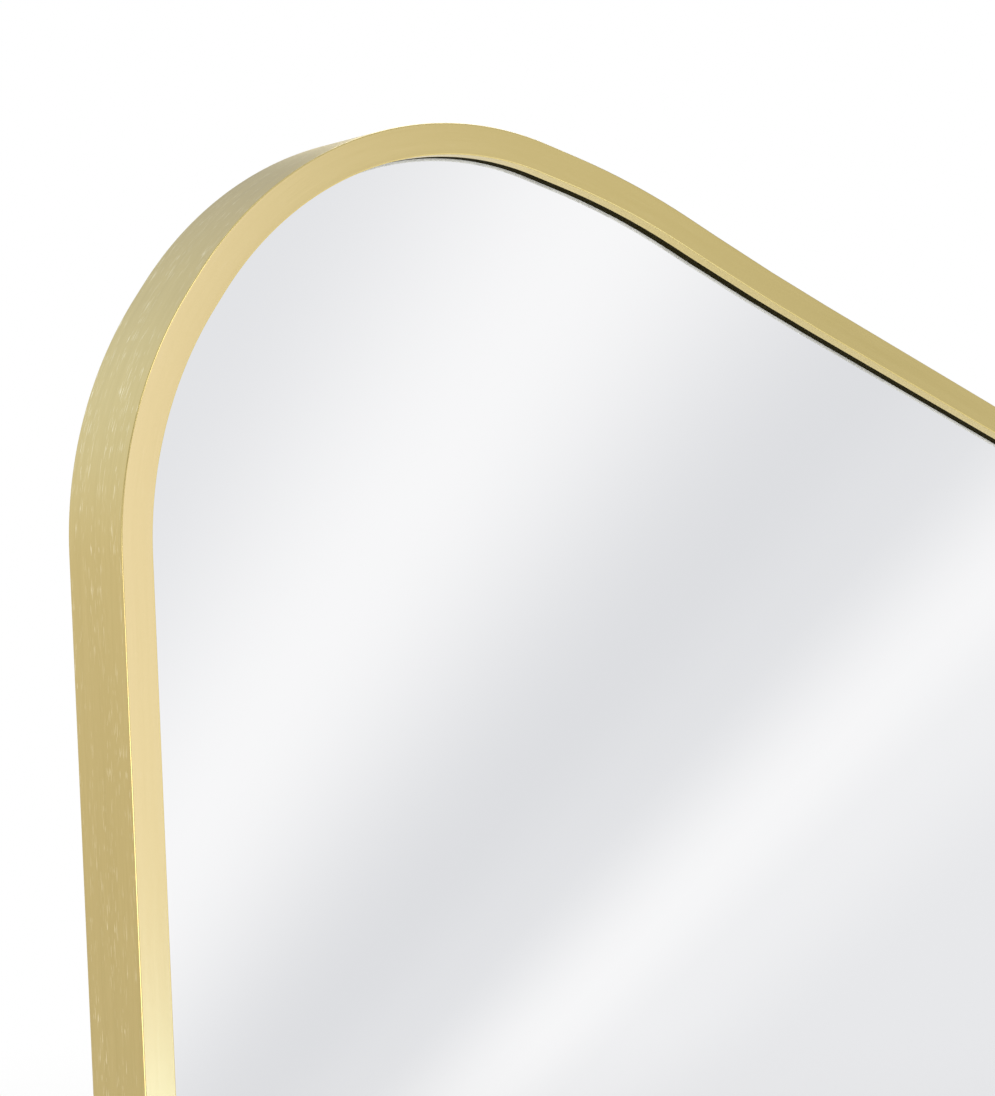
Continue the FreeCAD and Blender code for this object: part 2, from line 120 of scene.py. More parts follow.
# ---- screws, clips and hangers ----------------------------------------------------------------
SCREW_SHANK_RADIUS = 1.6 * MM
SCREW_HEAD_RADIUS = 3.3 * MM
SCREW_HEAD_HEIGHT = 2.2 * MM
SCREW_HEAD_RIM = 0.8 * MM
SCREW_HOLE_RADIUS = 1.7 * MM
SCREW_SIDES = 40
SCREW_TURN = 0.65             # radians from one screw's recess to the next one's
RECESS_REACH = 1.75 * MM
RECESS_WIDTH = 0.75 * MM
RECESS_DEPTH = 1.3 * MM
RECESS_OVERLAP = 0.2 * MM
RECESS_TAPER = (1.05, 0.5)    # how wide the cutter's cross is above the head and at its bottom
HEAD_TOP_REACH = 0.1 * MM     # points this near a node's back belong to the top of a head
HEAD_SPREAD = 3.0 * MM        # points closer than this belong to the same head
CLIP_WIDTH = 16.0 * MM
CLIP_LENGTH = 22.0 * MM
CLIP_PLAY = 0.5 * MM
CLIP_START = WALL + CLIP_PLAY
CLIP_HOLE_FROM_END = 7.5 * MM
CLIP_CORNER = 5.0 * MM
RING_WIRE_RADIUS = 1.3 * MM
RING_INNER_WIDTH = 16.0 * MM
RING_CORNER = 3.2 * MM
RING_LEG = 2.5 * MM
RING_REST_TILT = math.radians(1.5)
RING_SIDES = 20
KNUCKLE_WALL = 1.2 * MM
KNUCKLE_PLAY = 0.05 * MM
KNUCKLE_BORE_RADIUS = RING_WIRE_RADIUS + KNUCKLE_PLAY
KNUCKLE_END_CLEARANCE = 0.3 * MM
KNUCKLE_TURN = math.radians(295)
KNUCKLE_STEPS = 40
PLATE_WIDTH = 14.0 * MM
PLATE_BEYOND_BOW = 24.0 * MM
PLATE_CORNER = 4.0 * MM
PLATE_HOLE_PITCH = 11.0 * MM
PLATE_HOLE_FROM_END = 6.0 * MM
PLATE_LAP = 0.15 * MM

# ---- softened edges -----------------------------------------------------------------------------
BEVEL_ANGLE = math.radians(40)
SHARP_ANGLE = math.radians(35)
SHEET_BEVEL = 0.15 * MM
SCREW_BEVEL = 0.06 * MM
NODE_BEVELS = {"board": 0.3 * MM, "block": 0.4 * MM, "pad": 0.35 * MM, "key": 0.25 * MM}
CORNER_SHARE = 0.45           # most of a side that the rounding at one of its ends takes
TINY = 1e-6


# ---- outline ---------------------------------------------------------------------------------

def left_of(direction):
    """Inward normal of a clockwise outline in the XZ plane."""
    return Vector((direction[1], -direction[0]))


def stations():
    """Points, inward normals and distances along the outline, clockwise from the seam."""
    corners = [Vector((x * MIRROR_WIDTH, z * MIRROR_HEIGHT)) for x, z, _ in OUTLINE]
    count = len(corners)
    ways = [(corners[(i + 1) % count] - corners[i]).normalized() for i in range(count)]
    lengths = [(corners[(i + 1) % count] - corners[i]).length for i in range(count)]
    turns = [ways[i - 1].angle(ways[i]) for i in range(count)]
    sides = [1 if left_of(ways[i - 1]).dot(ways[i]) > 0 else -1 for i in range(count)]
    radii = [radius * MIRROR_WIDTH for _, _, radius in OUTLINE]
    tangents = [radii[i] * math.tan(turns[i] / 2) for i in range(count)]
    room = [lengths[i] * (1 - EDGE_LEFT_STRAIGHT) / (tangents[i] + tangents[(i + 1) % count])
            for i in range(count)]
    for i in range(count):
        share = min(1.0, room[i - 1], room[i])
        radii[i] *= share
        tangents[i] *= share
    points, normals = [], []

    def straight(start, end, way):
        steps = max(1, round((end - start).length / LINE_STEP))
        for k in range(steps):
            points.append(start + (end - start) * (k / steps))
            normals.append(left_of(way))

    order = [(SEAM_EDGE + 1 + k) % count for k in range(count)]
    way = ways[SEAM_EDGE]
    seam_start = corners[SEAM_EDGE] + way * tangents[SEAM_EDGE]
    seam_end = corners[order[0]] - way * tangents[order[0]]
    middle = (seam_start + seam_end) / 2
    straight(middle, seam_end, way)
    for i in order:
        before = ways[i - 1]
        start = corners[i] - before * tangents[i]
        centre = start + left_of(before) * (radii[i] * sides[i])
        steps = max(2, round(turns[i] / ARC_STEP))
        for k in range(steps):
            angle = -turns[i] * sides[i] * k / steps
            normal = Matrix.Rotation(angle, 2) @ left_of(before)
            points.append(centre - normal * (radii[i] * sides[i]))
            normals.append(normal)
        after = corners[i] + ways[i] * tangents[i]
        following = (i + 1) % count
        last = middle if i == SEAM_EDGE else corners[following] - ways[i] * tangents[following]
        straight(after, last, ways[i])
    points.append(middle.copy())
    normals.append(left_of(way))
    distances = [0.0]
    for a, b in zip(points, points[1:]):
        distances.append(distances[-1] + (b - a).length)
    return points, normals, distances


POINTS, NORMALS, DISTANCES = stations()


def rounded(section, radii, steps=3):
    """A closed section of (inset, level) with its corners rounded."""
    found = []
    count = len(section)
    for i, (corner, radius) in enumerate(zip(section, radii)):
        here = Vector(corner)
        before = Vector(section[i - 1]) - here
        after = Vector(section[(i + 1) % count]) - here
        reach = min(radius, CORNER_SHARE * before.length, CORNER_SHARE * after.length)
        if reach < TINY:
            found.append(tuple(here))
            continue
        start = here + before.normalized() * reach
        end = here + after.normalized() * reach
        for k in range(steps + 1):
            t = k / steps
            point = start * (1 - t) ** 2 + here * (2 * t * (1 - t)) + end * t ** 2
            found.append(tuple(point))
    return found


def bevelled(piece, width):
    """Softens the sharp edges of a piece."""
    bevel = piece.modifiers.new("bevel", "BEVEL")
    bevel.width = width
    bevel.segments = 2
    bevel.limit_method = "ANGLE"
    bevel.angle_limit = BEVEL_ANGLE


def finished(name, mesh, replaces, materials, body=ROOT, bevel=0.0, place=None):
    """An object of the part: shaded, dressed, tied to its body, and put in place of the CAD nodes it replaces."""
    mesh.set_sharp_from_angle(angle=SHARP_ANGLE)
    piece = bpy.data.objects.new(name, mesh)
    bpy.context.scene.collection.objects.link(piece)
    if place:
        piece.matrix_world = place
    for polygon in mesh.polygons:
        polygon.use_smooth = True
    if bevel:
        bevelled(piece, bevel)
    weighted = piece.modifiers.new("weighted", "WEIGHTED_NORMAL")
    weighted.keep_sharp = True
    if not mesh.materials:
        for material in materials:
            mesh.materials.append(material)
    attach(piece, body)
    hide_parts(*replaces)
    return piece


def plain_side(a, b):
    """The number of the only material, all round a section."""
    return 0


def frame_side(a, b):
    """The number of the frame's material on its section from a to b: face, outer side or inner lip."""
    if max(a[0], b[0]) < OUTER_SIDE_REACH:
        return 1
    return 2 if min(a[0], b[0]) > FACE_WIDTH - INNER_LIP_REACH else 0


def sweep(name, section, replaces, materials, gap=0.0, side=plain_side):
    """A closed section swept round the outline; u runs along the outline and v round the section."""
    count = len(section)
    closed = gap == 0
    last = len(POINTS) - 1
    rings = last if closed else last + 1
    verts = []
    for i in range(rings):
        shift = Vector((0.0, 0.0))
        if gap and i in (0, last):
            along = Vector((-NORMALS[i][1], NORMALS[i][0]))
            shift = along * (gap / 2 if i == 0 else -gap / 2)
        for inset, level in section:
            spot = POINTS[i] + NORMALS[i] * inset + shift
            verts.append((spot[0], level, spot[1]))
    across = [0.0]
    for a, b in zip(section, section[1:] + section[:1]):
        across.append(across[-1] + math.dist(a, b))
    faces, coordinates = [], []
    for i in range(last):
        j = (i + 1) % rings
        for k in range(count):
            m = (k + 1) % count
            faces.append((i * count + k, i * count + m, j * count + m, j * count + k))
            u0, u1 = DISTANCES[i], DISTANCES[i + 1]
            coordinates += [(u0, across[k]), (u0, across[k + 1]), (u1, across[k + 1]), (u1, across[k])]
    if not closed:
        for ring, turn in ((0, -1), (last, 1)):
            faces.append([ring * count + k for k in range(count)][::turn])
            coordinates += [section[k] for k in range(count)][::turn]
    mesh = bpy.data.meshes.new(name)
    mesh.from_pydata(verts, [], faces)
    layer = mesh.uv_layers.new(name="UVMap")
    layer.data.foreach_set("uv", [value for pair in coordinates for value in pair])
    sides = [side(a, b) for a, b in zip(section, section[1:] + section[:1])]
    for polygon in list(mesh.polygons)[:last * count]:
        polygon.material_index = sides[polygon.index % count]
    made_outwards(mesh)
    return finished(name, mesh, replaces, materials)


def made_outwards(mesh):
    """Turns every face of a closed mesh outwards."""
    work = bmesh.new()
    work.from_mesh(mesh)
    bmesh.ops.recalc_face_normals(work, faces=work.faces)
    work.to_mesh(mesh)
    work.free()


# ---- materials -------------------------------------------------------------------------------

# grains to the metre, along the profile and round it
BRUSH_FINE = (40.0, 5200.0, 1.0)
BRUSH_BROAD = (5.0, 300.0, 1.0)
# painted glints: near-white flecks along the grain, and the clusters they gather in
GLINT_GRAIN = (170.0, 3800.0, 1.0)
GLINT_CLUSTERS = (22.0, 240.0, 1.0)
# grains to the metre along X, Y and Z
HAZE = (3.0, 3.0, 5.0)
SPANGLE = (60.0, 60.0, 60.0)
DRAWN_SPANGLE = (40.0, 400.0, 400.0)
PLATING = (1800.0, 1800.0, 1800.0)
FIBRES = (240.0, 240.0, 240.0)
BOARD_CLOUDS = (9.0, 9.0, 6.0)
FLOOR_GRAIN = (30.0, 30.0, 30.0)
# depths of relief
BRUSH_RELIEF = 0.02 * MM
RUBBER_RELIEF = 0.04 * MM
PLATING_RELIEF = 0.01 * MM
FIBRE_RELIEF = 0.12 * MM
# noise at which a painted glint begins to show and is full, and the same for a cluster of painted glints
GLINT_RANGE = (0.71, 0.75)
GLINT_CLUSTER_RANGE = (0.44, 0.58)
# golds, as they are seen on screen
GOLD_LOW, GOLD_HIGH = (196, 177, 113), (212, 194, 133)
# the inner lip's pair is the same gold painted lighter, as painted light
LIP_PAINTED_LIGHT_LOW, LIP_PAINTED_LIGHT_HIGH = (230, 207, 128), (243, 223, 151)
# the near-white of the painted glints
GLINT_COLOUR = (255, 246, 212)


class Nodes:
    """A small helper that adds nodes to one tree and links them."""

    def __init__(self, tree):
        self.tree = tree
        self.texture_coordinate = tree.nodes.new("ShaderNodeTexCoord")

    def node(self, kind, inputs=(), **settings):
        made = self.tree.nodes.new(kind)
        for key, value in settings.items():
            setattr(made, key, value)
        for key, value in dict(inputs).items():
            self.put(made.inputs[key], value)
        return made

    def put(self, socket, value):
        if isinstance(value, bpy.types.NodeSocket):
            self.tree.links.new(value, socket)
        else:
            socket.default_value = value

    def stretched(self, source, scale):
        return self.node("ShaderNodeMapping", {"Vector": self.texture_coordinate.outputs[source],
                                               "Scale": scale}).outputs["Vector"]

    def noise(self, vector, scale=1.0, detail=3.0, roughness=0.6):
        return self.node("ShaderNodeTexNoise", {"Vector": vector, "Scale": scale, "Detail": detail,
                                                "Roughness": roughness}).outputs["Fac"]

    def ranged(self, value, low, high, out_low, out_high):
        return self.node("ShaderNodeMapRange", {"Value": value, "From Min": low, "From Max": high,
                                                "To Min": out_low, "To Max": out_high}).outputs["Result"]

    def math(self, operation, a, b=0.0):
        made = self.node("ShaderNodeMath", operation=operation)
        self.put(made.inputs[0], a)
        self.put(made.inputs[1], b)
        return made.outputs["Value"]

    def dot(self, vector, axis):
        made = self.node("ShaderNodeVectorMath", {0: vector, 1: axis}, operation="DOT_PRODUCT")
        return made.outputs["Value"]

    def soft_step(self, value, low, high):
        return self.node("ShaderNodeMapRange", {"Value": value, "From Min": low, "From Max": high},
                         interpolation_type="SMOOTHSTEP").outputs["Result"]

    def ramp(self, value, low, high, stops):
        """A colour that eases from stop to stop; each stop is a value and a colour."""
        made = self.node("ShaderNodeValToRGB", {"Fac": self.ranged(value, low, high, 0.0, 1.0)})
        elements = made.color_ramp.elements
        made.color_ramp.interpolation = "EASE"
        for k, (place, shade) in enumerate(stops):
            position = (place - low) / (high - low)
            element = elements[k] if k < 2 else elements.new(position)
            element.position = position
            element.color = shade
        return made.outputs["Color"]

    def blended(self, factor, low, high):
        made = self.node("ShaderNodeMix", data_type="RGBA")
        self.put(made.inputs["Factor"], factor)
        colours = [socket for socket in made.inputs if socket.type == "RGBA"]
        self.put(colours[0], low)
        self.put(colours[1], high)
        return [socket for socket in made.outputs if socket.type == "RGBA"][0]


class Shader(Nodes):
    """The nodes of a new material."""

    def __init__(self, name):
        self.material = bpy.data.materials.new(name)
        self.material.use_nodes = True
        super().__init__(self.material.node_tree)
        self.principled = self.tree.nodes["Principled BSDF"]

    def set(self, **values):
        for key, value in values.items():
            self.put(self.principled.inputs[key.replace("_", " ")], value)

    def bump(self, height, distance, strength=1.0):
        made = self.node("ShaderNodeBump", {"Height": height, "Distance": distance, "Strength": strength})
        self.put(self.principled.inputs["Normal"], made.outputs["Normal"])


def colour(red, green, blue):
    """A colour as it is seen on screen, 0 to 255, as the linear value that the shader takes."""
    def linear(value):
        value /= 255
        return value / 12.92 if value <= 0.04045 else ((value + 0.055) / 1.055) ** 2.4
    return linear(red), linear(green), linear(blue), 1.0


def brushed_gold(name, roughness, streaks, flecks, low=GOLD_LOW, high=GOLD_HIGH):
    """Gold anodised aluminium, brushed along the profile, with short near-white flecks in loose clusters: painted
    glints off the grain.
    """
    shader = Shader(name)
    fine = shader.noise(shader.stretched("UV", BRUSH_FINE), detail=4.0)
    broad = shader.noise(shader.stretched("UV", BRUSH_BROAD), detail=2.0)
    glint_noise = shader.noise(shader.stretched("UV", GLINT_GRAIN), detail=0.0)
    glint_cluster = shader.noise(shader.stretched("UV", GLINT_CLUSTERS), detail=1.0)
    tone = shader.math("ADD", shader.math("MULTIPLY", fine, 0.65), shader.math("MULTIPLY", broad, 0.35))
    tone = shader.ranged(tone, 0.5 - 0.16 / streaks, 0.5 + 0.16 / streaks, 0.0, 1.0)
    base = shader.blended(tone, colour(*low), colour(*high))
    # painted glints: near-white flecks blended into the base colour
    painted_glints = shader.math("MULTIPLY", shader.ranged(glint_noise, *GLINT_RANGE, 0.0, flecks),
                         shader.ranged(glint_cluster, *GLINT_CLUSTER_RANGE, 0.1, 1.0))
    base = shader.blended(painted_glints, base, colour(*GLINT_COLOUR))
    shader.set(Base_Color=base, Metallic=1.0, Anisotropic=0.3)
    shader.set(Roughness=shader.ranged(tone, 0.0, 1.0, roughness - 0.04, roughness + 0.05))
    tangent = shader.node("ShaderNodeTangent", direction_type="UV_MAP")
    shader.put(shader.principled.inputs["Tangent"], tangent.outputs["Tangent"])
    shader.bump(fine, BRUSH_RELIEF, 0.4 * streaks)
    return shader.material


def silvered_glass():
    """The pane from the front: a mirror with a trace of haze."""
    shader = Shader("silvered_glass")
    haze = shader.noise(shader.stretched("Object", HAZE), detail=2.0)
    shader.set(Base_Color=shader.blended(haze, colour(246, 246, 247), colour(248, 248, 249)), Metallic=1.0)
    shader.set(Roughness=shader.ranged(haze, 0.3, 0.7, 0.0, 0.01))
    return shader.material


def rubber(name, low, high, roughness, grain, gloss=0.5, transmission=0.0):
    """Rubber, paint, film or foam with a fine grain."""
    shader = Shader(name)
    shader.set(Specular_IOR_Level=gloss, Transmission_Weight=transmission)
    grains = shader.noise(shader.stretched("Object", (grain, grain, grain)), detail=4.0)
    shader.set(Base_Color=shader.blended(grains, colour(*low), colour(*high)))
    shader.set(Roughness=shader.ranged(grains, 0.3, 0.7, roughness - 0.06, roughness + 0.06))
    shader.bump(grains, RUBBER_RELIEF, 0.4)
    return shader.material


def metal(name, low, high, roughness, scale=SPANGLE):
    """Plated or bare metal with a cloudy spangle."""
    shader = Shader(name)
    spangle = shader.noise(shader.stretched("Object", scale), detail=3.0)
    grains = shader.noise(shader.stretched("Object", PLATING), detail=2.0)
    shader.set(Base_Color=shader.blended(spangle, colour(*low), colour(*high)), Metallic=1.0)
    shader.set(Roughness=shader.ranged(spangle, 0.3, 0.7, roughness - 0.08, roughness + 0.08))
    shader.bump(grains, PLATING_RELIEF, 0.5)
    return shader.material


def fibreboard():
    """Hard brown board with pressed fibres and broad clouds."""
    shader = Shader("fibreboard")
    fibres = shader.noise(shader.stretched("Object", FIBRES), detail=8.0, roughness=0.75)
    clouds = shader.noise(shader.stretched("Object", BOARD_CLOUDS), detail=3.0)
    tone = shader.math("ADD", shader.math("MULTIPLY", fibres, 0.6), shader.math("MULTIPLY", clouds, 0.4))
    tone = shader.ranged(tone, 0.35, 0.65, 0.0, 1.0)
    shader.set(Base_Color=shader.blended(tone, colour(126, 98, 70), colour(160, 130, 96)))
    shader.set(Roughness=shader.ranged(fibres, 0.3, 0.7, 0.72, 0.88))
    shader.bump(fibres, FIBRE_RELIEF, 0.5)
    return shader.material


# the outer side carries most of the painted glints
GOLD = brushed_gold("brushed_gold", 0.24, 0.35, 0.04)
GOLD_SIDE = brushed_gold("brushed_gold_side", 0.33, 0.75, 0.9)
# the inner lip's gold, painted lighter: painted light
GOLD_LIP_PAINTED_LIGHT = brushed_gold("brushed_gold_lip_painted_light", 0.24, 0.35, 0.04, LIP_PAINTED_LIGHT_LOW, LIP_PAINTED_LIGHT_HIGH)
MIRROR = silvered_glass()
# black rubber tinted olive-brown: painted shade of the gap, with light off the gold around it
GASKET = rubber("gasket_rubber_painted_shade", (34, 30, 9), (46, 41, 14), 0.80, 900.0, 0.04)
# dark ring on the pane under the gasket: painted shade
RIM = rubber("rim_painted_shade", (22, 20, 12), (34, 31, 19), 0.70, 900.0, 0.12)
SEAL = rubber("seal_silicone", (248, 249, 238), (253, 253, 246), 0.30, 700.0, transmission=0.3)
BLOCK = rubber("block_rubber", (40, 40, 40), (54, 54, 53), 0.60, 500.0)
PAD = rubber("pad_rubber", (58, 58, 57), (76, 76, 74), 0.68, 700.0)
FILM = rubber("safety_film", (214, 216, 220), (224, 226, 229), 0.35, 300.0)
FOAM = rubber("tape_foam", (196, 196, 190), (214, 214, 208), 0.85, 1500.0)
ZINC = metal("zinc_plated_steel", (178, 182, 186), (206, 208, 208), 0.32)
RING_STEEL = metal("ring_wire", (188, 190, 192), (208, 209, 209), 0.24)
KEY_METAL = metal("mill_aluminium", (186, 188, 190), (204, 206, 208), 0.40, DRAWN_SPANGLE)
PAINT = metal("silver_back", (198, 201, 203), (208, 210, 212), 0.30)
BOARD = fibreboard()


# ---- pieces that follow the outline -----------------------------------------------------------

def frame_skin():
    """The bent profile: face, inner lip, clip groove and the T-slot that holds the splice key."""
    groove_front = BOARD_BACK - RIB_THICKNESS
    slot_rib_front = CLIP_BACK + CLIP_GROOVE_CLEARANCE
    slot_front = KEY_FRONT - KEY_CLEARANCE
    slot_back = KEY_BACK + KEY_CLEARANCE
    soft, crisp = FACE_ROUNDING, SECTION_ROUNDING
    corners = [
        (0.0, FRONT, soft), (FACE_WIDTH, FRONT, soft / 2), (FACE_WIDTH, LIP_END, crisp * 2),
        (LIP_OUTSIDE, LIP_END, crisp), (LIP_OUTSIDE, FRONT + WALL, crisp), (WALL, FRONT + WALL, crisp),
        (WALL, groove_front, crisp), (RIB_TIP, groove_front, crisp), (RIB_TIP, BOARD_BACK, crisp),
        (WALL, BOARD_BACK, crisp), (WALL, slot_rib_front, crisp), (RIB_TIP, slot_rib_front, crisp),
        (RIB_TIP, slot_front + SLOT_LIP, crisp), (SLOT_LIP_OUTSIDE, slot_front + SLOT_LIP, crisp),
        (SLOT_LIP_OUTSIDE, slot_front, crisp), (WALL, slot_front, crisp), (WALL, slot_back, crisp),
        (SLOT_LIP_OUTSIDE, slot_back, crisp), (SLOT_LIP_OUTSIDE, slot_back - SLOT_LIP, crisp),
        (RIB_TIP, slot_back - SLOT_LIP, crisp), (RIB_TIP, BACK_EDGE, crisp * 2), (0.0, BACK_EDGE, crisp * 2),
    ]
    section = rounded([corner[:2] for corner in corners], [corner[2] for corner in corners])
    return sweep("frame_profile_skin", section, ["frame_profile"], [GOLD, GOLD_SIDE, GOLD_LIP_PAINTED_LIGHT],
                 SEAM_GAP, frame_side)


def gasket_skin():
    """The dark gasket between lip and glass, with the hook that holds it behind the lip; its olive-brown is black
    rubber with the shade of the gap painted in, tinted by light off the gold around it.
    """
    hook = LIP_OUTSIDE - GASKET_HOOK
    hook_front = FRONT + WALL + GASKET_CLEARANCE
    corners = [(FACE_WIDTH, LIP_END), (FACE_WIDTH, GLASS_FRONT), (GASKET_OUTSIDE, GLASS_FRONT),
               (GASKET_OUTSIDE, LIP_END), (hook, LIP_END), (hook, hook_front), (LIP_OUTSIDE, hook_front),
               (LIP_OUTSIDE, LIP_END)]
    section = rounded(corners, [GASKET_ROUNDING] * 7 + [0.0])
    return sweep("glazing_gasket_skin", section, ["glazing_gasket"], [GASKET])


def seal_skin():
    """The thin translucent lip that lies on the glass along the gasket."""
    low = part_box("seal_lip")[0].y
    inner = FACE_WIDTH + SEAL_LIP_WIDTH
    section = rounded([(FACE_WIDTH, low), (inner, low), (inner, GLASS_FRONT), (FACE_WIDTH, GLASS_FRONT)],
                      [0.0, SEAL_ROUNDING, 0.0, 0.0])
    return sweep("seal_lip_skin", section, ["seal_lip"], [SEAL])


def pane_skin():
    """The pane: front and back faces, the arrised edge between them, and a dark rim under the gasket, painted
    shade where the gasket covers the glass.
    """
    section = [(FACE_WIDTH, GLASS_FRONT), (PANE_EDGE + ARRIS, GLASS_FRONT), (PANE_EDGE, GLASS_FRONT + ARRIS),
               (PANE_EDGE, GLASS_BACK - ARRIS), (PANE_EDGE + ARRIS, GLASS_BACK)]
    count = len(POINTS) - 1
    work = bmesh.new()
    rings = []
    for inset, level in section:
        ring = []
        for point, normal in zip(POINTS[:count], NORMALS[:count]):
            spot = point + normal * inset
            ring.append(work.verts.new((spot[0], level, spot[1])))
        rings.append(ring)
    for low, high in zip(rings, rings[1:]):
        for k in range(count):
            m = (k + 1) % count
            # the first strip, under the gasket, takes the painted shade of the rim
            work.faces.new((low[k], low[m], high[m], high[k])).material_index = int(low is rings[0])
    work.faces.new(rings[0])
    work.faces.new(rings[-1])
    return finished("mirror_pane", mesh_from(work, "mirror_pane"), ["mirror_glass"], [MIRROR, RIM])


def foam_skin(node):
    """A strip of foam tape, squeezed between the film and the board so that its cut edges swell."""
    work = bmesh.new()
    work.from_mesh(nodes[node].data)
    bmesh.ops.remove_doubles(work, verts=work.verts, dist=TINY)
    front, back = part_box(node)[0].y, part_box(node)[1].y
    for share in FOAM_CUTS:
        level = front + (back - front) * share
        everything = work.verts[:] + work.edges[:] + work.faces[:]
        bmesh.ops.bisect_plane(work, geom=everything, plane_co=(0, level, 0), plane_no=(0, 1, 0))
    work.normal_update()
    swollen = []
    for vert in work.verts:
        share = (vert.co.y - front) / (back - front)
        if FOAM_FLAT < share < 1 - FOAM_FLAT:
            swollen.append((vert, vert.normal * (FOAM_BULGE * 4 * share * (1 - share))))
    for vert, push in swollen:
        vert.co += push
    piece = finished(node + "_skin", mesh_from(work, node), [node], [FOAM])


# ---- pieces of steel --------------------------------------------------------------------------

def mesh_from(work, name):
    """The finished mesh of a bmesh, with its faces turned outwards."""
    bmesh.ops.recalc_face_normals(work, faces=work.faces)
    mesh = bpy.data.meshes.new(name)
    work.to_mesh(mesh)
    work.free()
    return mesh


def arc(x, z, radius, start, end, steps):
    """Points on an arc in the XZ plane, angles in degrees."""
    angles = [math.radians(start + (end - start) * k / steps) for k in range(steps + 1)]
    return [(x + radius * math.cos(angle), z + radius * math.sin(angle)) for angle in angles]


def add_plate(work, loops, level, far_level):
    """A flat plate with holes: the first loop of (x, z) is its outline, the others are its holes."""
    edges = []
    for loop in loops:
        verts = [work.verts.new((x, level, z)) for x, z in loop]
        edges += [work.edges.new((verts[k - 1], verts[k])) for k in range(len(verts))]
    filled = bmesh.ops.triangle_fill(work, edges=edges, use_beauty=True)
    faces = [item for item in filled["geom"] if isinstance(item, bmesh.types.BMFace)]
    raised = bmesh.ops.extrude_face_region(work, geom=faces)
    verts = [item for item in raised["geom"] if isinstance(item, bmesh.types.BMVert)]
    bmesh.ops.translate(work, verts=verts, vec=(0, far_level - level, 0))


def add_prism(work, section, x0, x1):
    """A closed section of (y, z) drawn out along X."""
    near, far = [[work.verts.new((x, y, z)) for y, z in section] for x in (x0, x1)]
    for k in range(len(section)):
        work.faces.new((near[k - 1], near[k], far[k], far[k - 1]))
    work.faces.new(near)
    work.faces.new(far)


def hole(x, z):
    """The loop of a screw hole."""
    return arc(x, z, SCREW_HOLE_RADIUS, 0, 360, 32)[:-1]


def rounded_end(half, shoulder, end, corner):
    """Half the outline of a strap whose end is down: from its right shoulder to its left one."""
    points = [(half, shoulder)]
    points += arc(half - corner, end + corner, corner, 0, -90, 8)
    points += arc(corner - half, end + corner, corner, -90, -180, 8)
    points.append((-half, shoulder))
    return points


def place_at(point, normal, level):
    """The place where local Z runs along the normal, in the XZ plane, and the origin is at the point."""
    axes = Matrix(((normal[1], 0, normal[0]), (0, 1, 0), (-normal[0], 0, normal[1]))).to_4x4()
    return Matrix.Translation((point[0], level, point[1])) @ axes


def nearest_on_outline(spot):
    """The point of the outline that is nearest to a spot."""
    best = None
    for a, b in zip(POINTS, POINTS[1:]):
        share = max(0.0, min(1.0, (spot - a).dot(b - a) / (b - a).length_squared))
        foot = a + (b - a) * share
        if best is None or (spot - foot).length < (spot - best).length:
            best = foot
    return best


def screw_places(node):
    """The middle of each screw head of a CAD node, as points in the XZ plane."""
    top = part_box(node)[1].y
    left = [Vector((vert.co.x, vert.co.z)) for vert in nodes[node].data.vertices
            if top - vert.co.y < HEAD_TOP_REACH]
    found = []
    while left:
        group, edge = [], [left.pop()]
        while edge:
            here = edge.pop()
            group.append(here)
            edge += [spot for spot in left if (spot - here).length < HEAD_SPREAD]
            left = [spot for spot in left if (spot - here).length >= HEAD_SPREAD]
        xs, zs = [spot[0] for spot in group], [spot[1] for spot in group]
        found.append(Vector(((min(xs) + max(xs)) / 2, (min(zs) + max(zs)) / 2)))
    return sorted(found, key=lambda spot: (round(spot[1], 4), spot[0]))


def cross_recess():
    """The cutter for a cross recess: a cross that narrows towards its bottom."""
    half, reach = RECESS_WIDTH / 2, RECESS_REACH
    cross = [(half, reach), (half, half), (reach, half), (reach, -half), (half, -half), (half, -reach),
             (-half, -reach), (-half, -half), (-reach, -half), (-reach, half), (-half, half), (-half, reach)]
    work = bmesh.new()
    top = SCREW_HEAD_HEIGHT + RECESS_OVERLAP
    bottom = SCREW_HEAD_HEIGHT - RECESS_DEPTH
    rings = [[work.verts.new((x * scale, level, z * scale)) for x, z in cross]
             for level, scale in zip((top, bottom), RECESS_TAPER)]
    for k in range(len(cross)):
        work.faces.new((rings[0][k - 1], rings[0][k], rings[1][k], rings[1][k - 1]))
    work.faces.new(rings[0])
    work.faces.new(rings[1])
    return mesh_from(work, "cross_recess")


